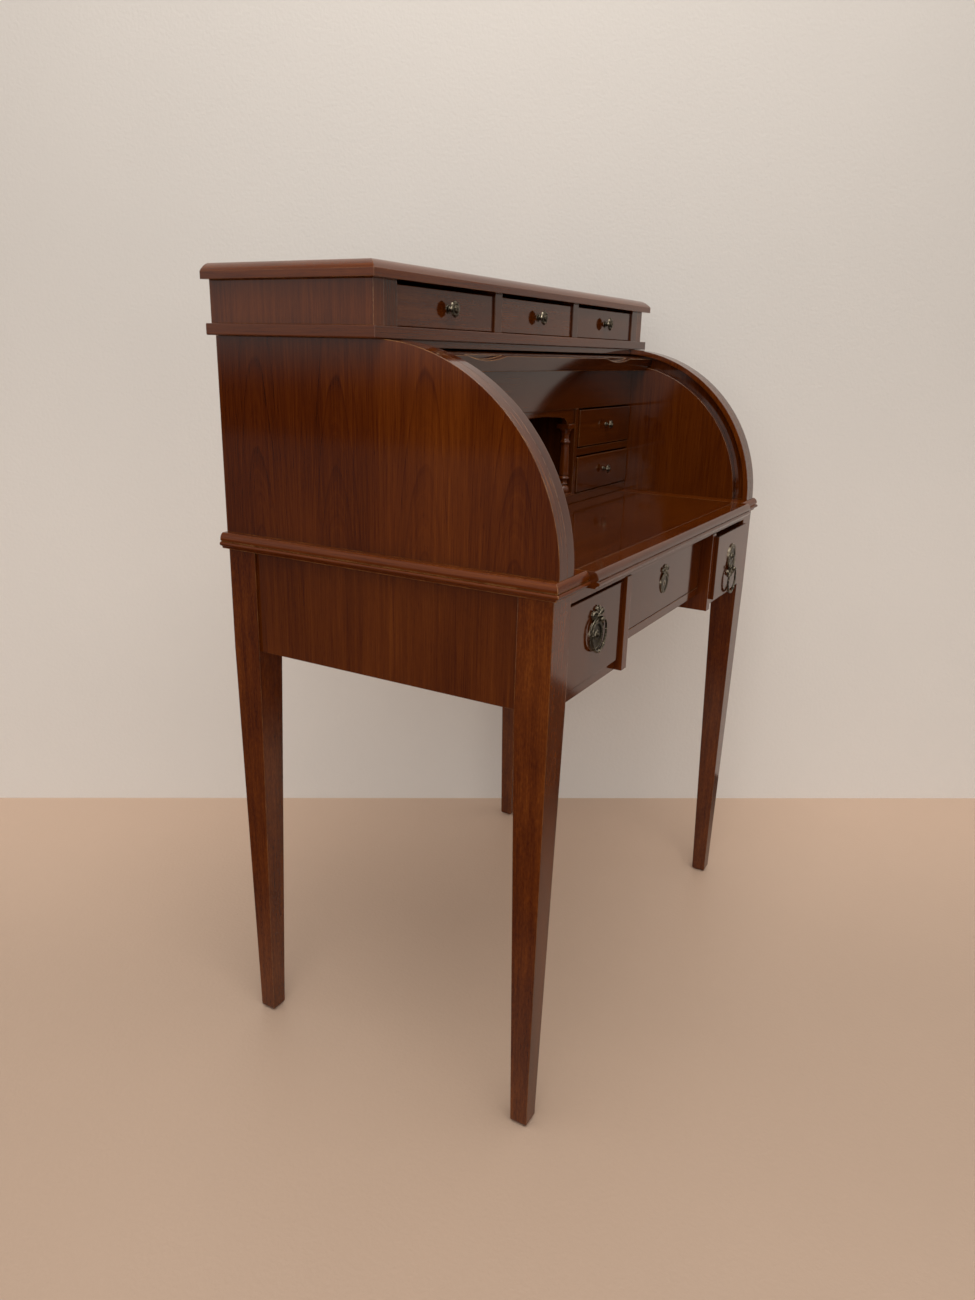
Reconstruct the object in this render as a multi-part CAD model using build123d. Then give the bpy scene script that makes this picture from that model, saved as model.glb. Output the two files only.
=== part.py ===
from build123d import *
import math
import os

# A roll top desk in millimetres.
# x runs across the desk from its mid-plane, y back from the front faces of the legs, z up from the floor.
# The solids are moved along y as they are saved, so that the origin lies under the middle of the desk.

# Overall
CENTRE_Y = 238.5
CASE_BACK = 497.0
BACK_THICK = 4.0

# Legs and aprons
LEG_OUTER = 408.4
LEG_SIZE = 45.3
LEG_BACK = 487.7
LEG_TAPER_TOP = 600.0
FOOT_SIZE = 24.4
FOOT_SHIFT = 3.5
FOOT_ROUND = 6.0
APRON_THICK = 18.0
APRON_RECESS = 3.5
LEG_INNER = LEG_OUTER - LEG_SIZE
APRON_OUTER = LEG_OUTER - APRON_RECESS
APRON_INNER = APRON_OUTER - APRON_THICK
BACK_APRON_FRONT = LEG_BACK - APRON_RECESS - APRON_THICK

# Desk board: fixed side boards, a back board and the writing slide between them
DESK_TOP = 760.0
DESK_THICK = 21.0
DESK_OUTER = 416.5
DESK_FRONT = -9.0
DESK_BACK_DEPTH = 42.0
DESK_UNDER = DESK_TOP - DESK_THICK
SLIDE_HALF = 330.0
SLIDE_GAP = 0.5
SLIDE_EDGE_DEPTH = 30.0
SLIDE_END = 450.0
SLIDE_OUT = 11.0

# Frieze: drawers, rails, dividers
TOP_RAIL_UNDER = 726.5
TOP_RAIL_DEPTH = 45.0
DIVIDER_INNER = 177.0
DIVIDER_OUTER = 193.5
DIVIDER_FRONT = -2.0
DIVIDER_UNDER = 598.0
RAIL_DEPTH = 45.0
SIDE_RAIL_TOP = 613.0
CENTRE_RAIL_UNDER = 624.5
CENTRE_RAIL_TOP = 637.0
SIDE_FRONT_Y = 8.5
CENTRE_FRONT_Y = 15.0
FRIEZE_FRONT_TOP = 721.0
FRIEZE_BOX_TOP = 708.0
FRIEZE_BOX_END = 430.0
FRIEZE_FRONT_THICK = 18.0
FRIEZE_GAP = 1.5
FRIEZE_BOX_INSET = 3.0
FRIEZE_SIDE_THICK = 10.0
FRIEZE_BOTTOM_THICK = 6.0
RUNNER_WIDTH = 24.0
GUIDE_TOP = 640.0
LEFT_DRAWER_OUT = 6.0
RIGHT_DRAWER_OUT = 15.5

# Roll top: everything circular is about one axis across the desk
AXIS_Y = 250.0
CASE_RADIUS = 252.0
CASE_OUTER = 401.0
CASE_INNER = 381.0
LINER_INNER = 363.0
LINER_RADIUS = 226.0
RIM_INNER_RADIUS = 244.0
CASE_TOP = DESK_TOP + CASE_RADIUS
CASE_TOP_THICK = 8.5
CASE_TOP_FRONT = 238.0
SLAT_INNER = 229.0
SLAT_OUTER = 241.0
SLAT_CROWN = 2.0
SLAT_GAP = 0.5
SLAT_COUNT = 19
SLAT_PITCH = 4.2
SLAT_HALF = 379.0
CANVAS_THICK = 0.8
CANVAS_HALF = 355.0
LEAD_START = 0.3
LEAD_END = 10.0
LEAD_INNER = 221.0
LEAD_HALF = 361.0
PULL_X = 220.0
PULL_LENGTH = 100.0
PULL_DEPTH = 6.0
PULL_HEIGHT = 9.0
OPEN_ANGLE = 77.7

# Belt shelf, gallery and cornice
BELT_OUTER = 420.5
BELT_FRONT = 232.0
BELT_TOP = 1026.0
GALLERY_OUTER = 412.0
GALLERY_SIDE_THICK = 20.0
GALLERY_FRONT = 240.0
GALLERY_BACK = 492.0
GALLERY_TOP = 1077.0
STILE_INNER = 366.0
STILE_DEPTH = 18.0
GALLERY_DIVIDER_INNER = 116.0
GALLERY_DIVIDER_OUTER = 134.5
GALLERY_BOX_END = 470.0
GALLERY_RECESS = 3.0
GALLERY_FRONT_THICK = 14.0
GALLERY_GAP = 1.2
GALLERY_TOP_GAP = 4.0
GALLERY_BACK_THICK = 5.0
SHELF_BACK = 494.0
CORNICE_OUTER = 425.0
CORNICE_FRONT = 229.0
CORNICE_BAND = 9.0
CORNICE_TOP = 1096.5
CORNICE_INSET = 14.0

# Interior unit that stands behind the roll top
UNIT_FRONT = 232.0
UNIT_BACK = 396.0
UNIT_BACK_THICK = 5.0
UNIT_CLEARANCE = 0.6
FLOOR_TOP = 775.0
UNIT_SHELF_UNDER = 839.0
UNIT_SHELF_TOP = 851.0
UNIT_TOP = 916.0
UNIT_TOP_THICK = 10.0
PARTITION_INNER = 128.0
PARTITION_OUTER = 139.0
FASCIA_THICK = 12.0
FASCIA_TOP = 977.0
VALANCE_END = 104.0
VALANCE_LOW = 892.0
VALANCE_SHOULDER = 902.0
VALANCE_HIGH = 907.0
VALANCE_THICK = 8.0
UNIT_DRAWER_PROUD = 2.0
UNIT_DRAWER_THICK = 12.0
UNIT_DRAWER_GAP = 2.2
UNIT_DRAWER_TOP_GAP = 3.0
COLUMN_X = 116.0
COLUMN_Y = 243.5
COLUMN_BLOCK = 23.0

# Metalwork
PLATE_THICK = 2.0
PLATE_HALF_WIDTH = 20.5
PLATE_HALF_HEIGHT = 21.5
KNOT_RISE = 2.5
KNOT_RADIUS = 5.5
LOOP_X = 10.5
LOOP_RISE = 5.5
LOOP_RADIUS = 6.5
CREST_RISE = 12.0
CREST_RADIUS = 5.0
SIDE_PULL_X = 279.0
LEFT_PLATE_Z = 669.0
RIGHT_PLATE_Z = 675.5
PIVOT_OFFSET = 21.5
POST_RADIUS = 3.5
BAIL_STANDOFF = 5.2
BAIL_WIRE = 1.6
BAIL_HOLE = 1.9
BAIL_STRAIGHT = 5.0
BAIL_HALF_WIDTH = 20.5
BAIL_DROP = 42.0
ESCUTCHEON_Z = 679.0
ESCUTCHEON_SCALE = 0.74
KEYHOLE_RADIUS = 1.8
KEYHOLE_SLOT = 1.8
KEYHOLE_DROP = 6.0
GALLERY_KNOB_RADIUS = 10.5
GALLERY_KNOB_LENGTH = 15.0
UNIT_KNOB_RADIUS = 7.5
UNIT_KNOB_LENGTH = 14.0

EASE = 0.8
BELT_EASE = 1.2
LIGHT_SIDE_THICK = 7.0
LIGHT_BOTTOM_THICK = 4.0
LIGHT_BOX_INSET = 2.0


def save(name, *solids):
    """Write one node, moved so that the origin is under the middle of the desk."""
    shape = Compound(children=[copied for solid in solids for copied in solid.solids()])
    export_step(Pos(0, -CENTRE_Y, 0) * shape, f"parts/{name}.step")


def board(x0, x1, y0, y1, z0, z1, ease=0.0):
    """A board between two opposite corners, with its arrises eased if asked."""
    solid = Pos((x0 + x1) / 2, (y0 + y1) / 2, (z0 + z1) / 2) * Box(abs(x1 - x0), abs(y1 - y0), abs(z1 - z0))
    if ease:
        solid = fillet(solid.edges(), ease)
    return solid


def mirrored(solid):
    """The same piece on the other side of the desk."""
    return mirror(solid, about=Plane.YZ)


def along_x(face, x0, x1):
    """Run a (y, z) section from x0 to x1."""
    return extrude(Plane.YZ.offset(x0) * face, amount=x1 - x0)


def along_y(face, y0, y1):
    """Run an (x, z) section from y0 to y1."""
    return extrude(Plane.XZ.offset(-y0) * face, amount=y0 - y1)


def face_of(*edges):
    """A flat face inside a closed run of edges."""
    return make_face(Wire(list(edges)))


def on_arc(radius, degrees):
    """A (y, z) point on a circle about the roll top's axis; 0 degrees is the front, 90 the top."""
    angle = math.radians(degrees)
    return (AXIS_Y - radius * math.cos(angle), DESK_TOP + radius * math.sin(angle))


def sector(inner, outer, start, end):
    """A (y, z) face between two radii and two angles about the roll top's axis."""
    middle = (start + end) / 2
    inner_arc = ThreePointArc(on_arc(inner, start), on_arc(inner, middle), on_arc(inner, end))
    outer_arc = ThreePointArc(on_arc(outer, end), on_arc(outer, middle), on_arc(outer, start))
    far_side = Line(on_arc(inner, end), on_arc(outer, end))
    near_side = Line(on_arc(outer, start), on_arc(inner, start))
    return face_of(inner_arc, far_side, outer_arc, near_side)


def moulded_section(width):
    """Section of the desk's edge: cove, bead, groove and ovolo; its outermost point is at 0."""
    top = DESK_THICK
    return face_of(
        Line((-width, 0), (-5, 0)),
        ThreePointArc((-5, 0), (-3.97, 2.83), (-1.5, 4)),
        ThreePointArc((-1.5, 4), (0, 6.5), (-1.5, 9)),
        Line((-1.5, 9), (-3.2, 9.4)),
        Line((-3.2, 9.4), (-3.2, 10.3)),
        Line((-3.2, 10.3), (-1.8, 10.7)),
        ThreePointArc((-1.8, 10.7), (-2.7, 17.0), (-6.5, top)),
        Line((-6.5, top), (-width, top)),
        Line((-width, top), (-width, 0)),
    )


def front_section(width, front):
    """The moulded section turned to face forwards, as a (y, z) face."""
    return Pos(front, DESK_UNDER) * mirror(moulded_section(width), about=Plane.YZ)


# --- Stand -------------------------------------------------------------------------------------


def leg():
    """One square tapered leg about its own centre line, with its outer sides towards -x and -y."""
    block_height = DESK_UNDER - LEG_TAPER_TOP
    block = Pos(0, 0, LEG_TAPER_TOP + block_height / 2) * Box(LEG_SIZE, LEG_SIZE, block_height)
    top = Pos(0, 0, LEG_TAPER_TOP) * Rectangle(LEG_SIZE, LEG_SIZE)
    foot = Pos(-FOOT_SHIFT, -FOOT_SHIFT, 0) * Rectangle(FOOT_SIZE, FOOT_SIZE)
    taper = loft(Sketch() + [foot, top])
    taper = fillet(taper.edges().group_by(Axis.Z)[0], FOOT_ROUND)
    return block + taper


def make_stand():
    centre_x = LEG_OUTER - LEG_SIZE / 2
    front_leg = Pos(-centre_x, LEG_SIZE / 2, 0) * leg()
    back_leg = mirror(leg(), about=Plane.XZ)
    back_leg = Pos(-centre_x, LEG_BACK - LEG_SIZE / 2, 0) * back_leg
    save("leg_front_left", front_leg)
    save("leg_front_right", mirrored(front_leg))
    save("leg_back_left", back_leg)
    save("leg_back_right", mirrored(back_leg))

    apron_back = LEG_BACK - LEG_SIZE
    apron = board(APRON_INNER, APRON_OUTER, LEG_SIZE, apron_back, LEG_TAPER_TOP, DESK_UNDER)
    save("side_apron_right", apron)
    save("side_apron_left", mirrored(apron))
    back_y = BACK_APRON_FRONT + APRON_THICK
    save("back_apron", board(-LEG_INNER, LEG_INNER, BACK_APRON_FRONT, back_y, LEG_TAPER_TOP, DESK_UNDER))


def make_frieze():
    top_rail = board(-LEG_INNER, LEG_INNER, 0, TOP_RAIL_DEPTH, TOP_RAIL_UNDER, DESK_UNDER)
    save("frieze_top_rail", top_rail)

    post = board(DIVIDER_INNER, DIVIDER_OUTER, DIVIDER_FRONT, TOP_RAIL_DEPTH, DIVIDER_UNDER, TOP_RAIL_UNDER)
    panel = board(DIVIDER_INNER, DIVIDER_OUTER, TOP_RAIL_DEPTH, BACK_APRON_FRONT, DIVIDER_UNDER, DESK_UNDER)
    divider = post + panel
    save("frieze_divider_right", divider)
    save("frieze_divider_left", mirrored(divider))

    side_back = SIDE_FRONT_Y + RAIL_DEPTH
    centre_back = CENTRE_FRONT_Y + RAIL_DEPTH
    side_rail = board(DIVIDER_OUTER, LEG_INNER, SIDE_FRONT_Y, side_back, DIVIDER_UNDER, SIDE_RAIL_TOP)
    centre_rail = board(
        -DIVIDER_INNER, DIVIDER_INNER, CENTRE_FRONT_Y, centre_back, CENTRE_RAIL_UNDER, CENTRE_RAIL_TOP
    )
    save("drawer_rails", side_rail, centre_rail, mirrored(side_rail))

    runners = []
    inner_edge = DIVIDER_OUTER + RUNNER_WIDTH
    outer_edge = LEG_INNER - RUNNER_WIDTH / 2
    guide_back = LEG_BACK - LEG_SIZE
    runners.append(
        board(DIVIDER_OUTER, inner_edge, side_back, BACK_APRON_FRONT, DIVIDER_UNDER, SIDE_RAIL_TOP)
    )
    runners.append(board(outer_edge, LEG_INNER, side_back, BACK_APRON_FRONT, DIVIDER_UNDER, SIDE_RAIL_TOP))
    runners.append(board(LEG_INNER, APRON_INNER, LEG_SIZE, guide_back, LEG_TAPER_TOP, GUIDE_TOP))
    runners.append(
        board(
            DIVIDER_INNER - RUNNER_WIDTH,
            DIVIDER_INNER,
            centre_back,
            BACK_APRON_FRONT,
            CENTRE_RAIL_UNDER,
            CENTRE_RAIL_TOP,
        )
    )
    save("drawer_runners", *runners, *[mirrored(runner) for runner in runners])


# --- Desk board --------------------------------------------------------------------------------


def make_desk_board():
    """Two fixed side boards with a moulded front and outer edge, a back board, and the writing slide."""
    side_section = Pos(DESK_OUTER, DESK_UNDER) * moulded_section(DESK_OUTER - SLIDE_HALF)
    depth_section = front_section(CASE_BACK - DESK_FRONT, DESK_FRONT)
    side = along_y(side_section, DESK_FRONT, CASE_BACK) & along_x(depth_section, SLIDE_HALF, DESK_OUTER)
    save("desk_side_board_right", side)
    save("desk_side_board_left", mirrored(side))
    back = board(-SLIDE_HALF, SLIDE_HALF, CASE_BACK - DESK_BACK_DEPTH, CASE_BACK, DESK_UNDER, DESK_TOP)
    save("desk_back_board", back)

    half = SLIDE_HALF - SLIDE_GAP
    front = DESK_FRONT - SLIDE_OUT
    seam = front + SLIDE_EDGE_DEPTH
    under = DESK_UNDER + SLIDE_GAP
    above_rails = board(-half, half, front, seam, under, DESK_TOP)
    edge = along_x(front_section(SLIDE_EDGE_DEPTH, front), -half, half) & above_rails
    save("writing_slide_edge", edge)
    save("writing_slide_board", board(-half, half, seam, SLIDE_END - SLIDE_OUT, under, DESK_TOP))


# --- Roll top case -----------------------------------------------------------------------------


def make_case():
    """Quarter-round sides, the inner rims and liners that form the track, a back and a top."""
    outline = face_of(
        ThreePointArc(on_arc(CASE_RADIUS, 0), on_arc(CASE_RADIUS, 45), on_arc(CASE_RADIUS, 90)),
        Line(on_arc(CASE_RADIUS, 90), (CASE_BACK, CASE_TOP)),
        Line((CASE_BACK, CASE_TOP), (CASE_BACK, DESK_TOP)),
        Line((CASE_BACK, DESK_TOP), on_arc(CASE_RADIUS, 0)),
    )
    side = along_x(outline, CASE_INNER, CASE_OUTER)
    save("case_side_right", side)
    save("case_side_left", mirrored(side))

    rim = along_x(sector(RIM_INNER_RADIUS, CASE_RADIUS, 0, 90), LINER_INNER, CASE_INNER)
    rim = rim & board(LINER_INNER, CASE_INNER, -CASE_RADIUS, CASE_TOP_FRONT, DESK_TOP, CASE_TOP)
    save("track_rims", rim, mirrored(rim))

    half_disc = face_of(
        ThreePointArc(on_arc(LINER_RADIUS, 0), on_arc(LINER_RADIUS, 90), on_arc(LINER_RADIUS, 180)),
        Line(on_arc(LINER_RADIUS, 180), on_arc(LINER_RADIUS, 0)),
    )
    liner = along_x(half_disc, LINER_INNER, CASE_INNER)
    save("track_liners", liner, mirrored(liner))

    back_front = CASE_BACK - BACK_THICK
    save("case_back", board(-CASE_INNER, CASE_INNER, back_front, CASE_BACK, DESK_TOP, CASE_TOP))
    top_under = CASE_TOP - CASE_TOP_THICK
    save("case_top", board(-CASE_INNER, CASE_INNER, CASE_TOP_FRONT, back_front, top_under, CASE_TOP))


# --- Tambour -----------------------------------------------------------------------------------


def opened(solid):
    """Turn a piece of the closed tambour back to where it stands open."""
    return solid.rotate(Axis((0, AXIS_Y, DESK_TOP), (1, 0, 0)), -OPEN_ANGLE)


def slat(middle):
    """One slat with a crowned outer face, at an angle from the front of the closed tambour."""
    half_pitch = math.radians(SLAT_PITCH / 2)
    half_width = SLAT_INNER * math.tan(half_pitch) - SLAT_GAP / 2
    shoulder = SLAT_OUTER - SLAT_CROWN
    section = face_of(
        Line((-half_width, SLAT_INNER), (half_width, SLAT_INNER)),
        Line((half_width, SLAT_INNER), (half_width, shoulder)),
        ThreePointArc((half_width, shoulder), (0, SLAT_OUTER), (-half_width, shoulder)),
        Line((-half_width, shoulder), (-half_width, SLAT_INNER)),
    )
    turned = Pos(AXIS_Y, DESK_TOP) * Rot(0, 0, 90 - middle) * section
    return along_x(turned, -SLAT_HALF, SLAT_HALF)


def lead_rail():
    """The thick bottom rail with tongues that ride in the tracks and two scooped finger pulls."""
    body = along_x(sector(LEAD_INNER, SLAT_OUTER, LEAD_START, LEAD_END), -LEAD_HALF, LEAD_HALF)
    tongue = along_x(sector(SLAT_INNER, SLAT_OUTER, LEAD_START, LEAD_END), -SLAT_HALF, SLAT_HALF)
    rail = body + tongue
    scoop_radius = ((PULL_LENGTH / 2) ** 2 + PULL_DEPTH**2) / (2 * PULL_DEPTH)
    outer_face = AXIS_Y - SLAT_OUTER
    scoop_centre = outer_face + PULL_DEPTH - scoop_radius
    for x in (-PULL_X, PULL_X):
        scoop = Pos(x, scoop_centre, DESK_TOP) * Cylinder(scoop_radius, 2 * PULL_HEIGHT)
        rail = rail - scoop
    return rail


def make_tambour():
    slats = []
    for index in range(SLAT_COUNT):
        slats.append(opened(slat(LEAD_END + (index + 0.5) * SLAT_PITCH)))
    save("tambour_slats", *slats)
    last = LEAD_END + SLAT_COUNT * SLAT_PITCH
    canvas_section = sector(SLAT_INNER - CANVAS_THICK, SLAT_INNER, LEAD_END + 0.2, last)
    canvas = along_x(canvas_section, -CANVAS_HALF, CANVAS_HALF)
    save("tambour_canvas", opened(canvas))
    save("tambour_lead_rail", opened(lead_rail()))


# --- Drawers -----------------------------------------------------------------------------------


def drawer_front(x0, x1, z0, z1, front, thick):
    """A drawer front with eased arrises."""
    return board(x0, x1, front, front + thick, z0, z1, EASE)


def drawer_box(x0, x1, z0, z1, start, end, side_thick, bottom_thick):
    """Two sides, a back and a bottom, as separate boards that meet the back of the drawer front."""
    inner0 = x0 + side_thick
    inner1 = x1 - side_thick
    back = end - side_thick
    bottom = z0 + bottom_thick
    return [
        board(x0, inner0, start, end, z0, z1),
        board(inner1, x1, start, end, z0, z1),
        board(inner0, inner1, back, end, bottom, z1 - side_thick / 2),
        board(inner0, inner1, start, end, z0, bottom),
    ]


def make_frieze_drawers():
    side_low = SIDE_RAIL_TOP + FRIEZE_GAP
    centre_low = CENTRE_RAIL_TOP + 1.0
    spans = {
        "left": (-LEG_INNER, -DIVIDER_OUTER, side_low, SIDE_FRONT_Y, LEFT_DRAWER_OUT),
        "centre": (-DIVIDER_INNER, DIVIDER_INNER, centre_low, CENTRE_FRONT_Y, 0.0),
        "right": (DIVIDER_OUTER, LEG_INNER, side_low, SIDE_FRONT_Y, RIGHT_DRAWER_OUT),
    }
    for name, (x0, x1, low, closed_y, out) in spans.items():
        front_y = closed_y - out
        box_start = front_y + FRIEZE_FRONT_THICK
        front = drawer_front(
            x0 + FRIEZE_GAP, x1 - FRIEZE_GAP, low, FRIEZE_FRONT_TOP, front_y, FRIEZE_FRONT_THICK
        )
        box = drawer_box(
            x0 + FRIEZE_BOX_INSET,
            x1 - FRIEZE_BOX_INSET,
            low - 0.5,
            FRIEZE_BOX_TOP,
            box_start,
            FRIEZE_BOX_END - out,
            FRIEZE_SIDE_THICK,
            FRIEZE_BOTTOM_THICK,
        )
        save(f"frieze_drawer_front_{name}", front)
        save(f"frieze_drawer_box_{name}", *box)


def light_drawer(x0, x1, low, high, front_y, thick, gap, box_low, box_high, end):
    """A small drawer: its front and the thin box behind it, between the sides x0 and x1 of its opening."""
    front = drawer_front(x0 + gap, x1 - gap, low, high, front_y, thick)
    box = drawer_box(
        x0 + LIGHT_BOX_INSET,
        x1 - LIGHT_BOX_INSET,
        box_low,
        box_high,
        front_y + thick,
        end,
        LIGHT_SIDE_THICK,
        LIGHT_BOTTOM_THICK,
    )
    return [front, *box]


def make_gallery_drawers():
    front_y = GALLERY_FRONT + GALLERY_RECESS
    low = BELT_TOP + 1.0
    high = GALLERY_TOP - GALLERY_TOP_GAP
    knob_z = (low + high) / 2 + 1.0
    spans = {
        "left": (-STILE_INNER, -GALLERY_DIVIDER_OUTER),
        "centre": (-GALLERY_DIVIDER_INNER, GALLERY_DIVIDER_INNER),
        "right": (GALLERY_DIVIDER_OUTER, STILE_INNER),
    }
    for name, (x0, x1) in spans.items():
        drawer = light_drawer(
            x0, x1, low, high, front_y, GALLERY_FRONT_THICK, GALLERY_GAP, low, high - 6.0, GALLERY_BOX_END
        )
        save(f"gallery_drawer_{name}", *drawer)
        turned = knob((x0 + x1) / 2, front_y, knob_z, GALLERY_KNOB_RADIUS, GALLERY_KNOB_LENGTH)
        save(f"gallery_knob_{name}", turned)


def make_interior_drawers():
    front_y = UNIT_FRONT - UNIT_DRAWER_PROUD
    end = UNIT_BACK - UNIT_BACK_THICK - 3.0
    rows = {
        "lower": (FLOOR_TOP + UNIT_DRAWER_GAP, UNIT_SHELF_UNDER - UNIT_DRAWER_TOP_GAP),
        "upper": (UNIT_SHELF_TOP + UNIT_DRAWER_GAP, UNIT_TOP - UNIT_DRAWER_TOP_GAP),
    }
    columns = {
        "left": (-LINER_INNER, -PARTITION_OUTER),
        "right": (PARTITION_OUTER, LINER_INNER),
    }
    for row, (low, high) in rows.items():
        knob_z = (low + high) / 2 + 2.0
        for side, (x0, x1) in columns.items():
            drawer = light_drawer(
                x0, x1, low, high, front_y, UNIT_DRAWER_THICK, UNIT_DRAWER_GAP, low - 0.5, high - 9.0, end
            )
            save(f"interior_drawer_{row}_{side}", *drawer)
            turned = knob((x0 + x1) / 2, front_y, knob_z, UNIT_KNOB_RADIUS, UNIT_KNOB_LENGTH)
            save(f"interior_knob_{row}_{side}", turned)


# --- Upper works -------------------------------------------------------------------------------


def make_gallery():
    """The belt shelf on the case, the row of small drawers above it and the cornice."""
    belt = board(-BELT_OUTER, BELT_OUTER, BELT_FRONT, SHELF_BACK, CASE_TOP, BELT_TOP, BELT_EASE)
    save("belt_shelf", belt)

    side_inner = GALLERY_OUTER - GALLERY_SIDE_THICK
    side = board(side_inner, GALLERY_OUTER, GALLERY_FRONT, GALLERY_BACK, BELT_TOP, GALLERY_TOP)
    save("gallery_sides", side, mirrored(side))
    stile_back = GALLERY_FRONT + STILE_DEPTH
    back_front = GALLERY_BACK - GALLERY_BACK_THICK
    stile = board(STILE_INNER, side_inner, GALLERY_FRONT, stile_back, BELT_TOP, GALLERY_TOP)
    divider = board(
        GALLERY_DIVIDER_INNER, GALLERY_DIVIDER_OUTER, GALLERY_FRONT, back_front, BELT_TOP, GALLERY_TOP
    )
    save("gallery_uprights", stile, divider, mirrored(divider), mirrored(stile))
    save("gallery_back", board(-side_inner, side_inner, back_front, GALLERY_BACK, BELT_TOP, GALLERY_TOP))

    shoulder = GALLERY_TOP + CORNICE_BAND
    mid_inset = CORNICE_INSET * 0.42
    mid_z = (shoulder + CORNICE_TOP) / 2 + 1.0
    across = face_of(
        Line((-CORNICE_OUTER, GALLERY_TOP), (CORNICE_OUTER, GALLERY_TOP)),
        Line((CORNICE_OUTER, GALLERY_TOP), (CORNICE_OUTER, shoulder)),
        ThreePointArc(
            (CORNICE_OUTER, shoulder),
            (CORNICE_OUTER - mid_inset, mid_z),
            (CORNICE_OUTER - CORNICE_INSET, CORNICE_TOP),
        ),
        Line((CORNICE_OUTER - CORNICE_INSET, CORNICE_TOP), (CORNICE_INSET - CORNICE_OUTER, CORNICE_TOP)),
        ThreePointArc(
            (CORNICE_INSET - CORNICE_OUTER, CORNICE_TOP),
            (mid_inset - CORNICE_OUTER, mid_z),
            (-CORNICE_OUTER, shoulder),
        ),
        Line((-CORNICE_OUTER, shoulder), (-CORNICE_OUTER, GALLERY_TOP)),
    )
    deep = face_of(
        Line((SHELF_BACK, GALLERY_TOP), (CORNICE_FRONT, GALLERY_TOP)),
        Line((CORNICE_FRONT, GALLERY_TOP), (CORNICE_FRONT, shoulder)),
        ThreePointArc(
            (CORNICE_FRONT, shoulder),
            (CORNICE_FRONT + mid_inset, mid_z),
            (CORNICE_FRONT + CORNICE_INSET, CORNICE_TOP),
        ),
        Line((CORNICE_FRONT + CORNICE_INSET, CORNICE_TOP), (SHELF_BACK, CORNICE_TOP)),
        Line((SHELF_BACK, CORNICE_TOP), (SHELF_BACK, GALLERY_TOP)),
    )
    cornice = along_y(across, CORNICE_FRONT, SHELF_BACK) & along_x(deep, -CORNICE_OUTER, CORNICE_OUTER)
    save("cornice", cornice)


# --- Interior unit -----------------------------------------------------------------------------


def column():
    """A turned column between a square cap and a square base, about its own axis."""
    low = FLOOR_TOP
    high = VALANCE_LOW
    profile = face_of(
        Line((0, low + 4), (8, low + 4)),
        ThreePointArc((8, low + 4), (10.5, low + 10), (8, low + 16)),
        Line((8, low + 16), (6, low + 17)),
        Line((6, low + 17), (7.5, low + 26)),
        ThreePointArc((7.5, low + 26), (10.5, low + 29), (7.5, low + 32)),
        Line((7.5, low + 32), (9, low + 34)),
        Line((9, low + 34), (7, high - 32)),
        ThreePointArc((7, high - 32), (9, high - 29.5), (7, high - 27)),
        Line((7, high - 27), (6.5, high - 20)),
        ThreePointArc((6.5, high - 20), (8, high - 13), (11, high - 8)),
        Line((11, high - 8), (0, high - 8)),
        Line((0, high - 8), (0, low + 4)),
    )
    turned = revolve(Plane.XZ * profile, axis=Axis.Z)
    cap = Pos(0, 0, high - 4) * Box(COLUMN_BLOCK, COLUMN_BLOCK, 8)
    base = Pos(0, 0, low + 2) * Box(COLUMN_BLOCK, COLUMN_BLOCK, 4)
    return turned + cap + base


def make_interior():
    """Floor, partitions, shelves, back and top of the unit, its fascia, valance and columns."""
    inner_back = UNIT_BACK - UNIT_BACK_THICK
    fascia_back = UNIT_FRONT + FASCIA_THICK
    floor = board(
        -LINER_INNER, LINER_INNER, UNIT_FRONT, UNIT_BACK, DESK_TOP + UNIT_CLEARANCE, FLOOR_TOP
    )
    top = board(-LINER_INNER, LINER_INNER, fascia_back, UNIT_BACK, UNIT_TOP, UNIT_TOP + UNIT_TOP_THICK)
    back = board(-LINER_INNER, LINER_INNER, inner_back, UNIT_BACK, FLOOR_TOP, UNIT_TOP)
    partition = board(PARTITION_INNER, PARTITION_OUTER, UNIT_FRONT, inner_back, FLOOR_TOP, UNIT_TOP)
    shelf = board(PARTITION_OUTER, LINER_INNER, UNIT_FRONT, inner_back, UNIT_SHELF_UNDER, UNIT_SHELF_TOP)
    save("interior_case", floor, top, back, partition, mirrored(partition), shelf, mirrored(shelf))
    save("interior_fascia", board(-LINER_INNER, LINER_INNER, UNIT_FRONT, fascia_back, UNIT_TOP, FASCIA_TOP))

    edge = PARTITION_INNER
    shoulder = VALANCE_END - 14
    cusp = shoulder + 5
    cusp_z = VALANCE_LOW + 8
    valance = face_of(
        Line((-edge, UNIT_TOP), (-edge, VALANCE_LOW)),
        Line((-edge, VALANCE_LOW), (-VALANCE_END, VALANCE_LOW)),
        ThreePointArc((-VALANCE_END, VALANCE_LOW), (-cusp, cusp_z), (-shoulder, VALANCE_SHOULDER)),
        ThreePointArc((-shoulder, VALANCE_SHOULDER), (0, VALANCE_HIGH), (shoulder, VALANCE_SHOULDER)),
        ThreePointArc((shoulder, VALANCE_SHOULDER), (cusp, cusp_z), (VALANCE_END, VALANCE_LOW)),
        Line((VALANCE_END, VALANCE_LOW), (edge, VALANCE_LOW)),
        Line((edge, VALANCE_LOW), (edge, UNIT_TOP)),
        Line((edge, UNIT_TOP), (-edge, UNIT_TOP)),
    )
    valance_front = UNIT_FRONT + 3.0
    save("interior_valance", along_y(valance, valance_front, valance_front + VALANCE_THICK))
    right_column = Pos(COLUMN_X, COLUMN_Y, 0) * column()
    save("interior_columns", right_column, mirrored(right_column))


# --- Metalwork ---------------------------------------------------------------------------------


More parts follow.
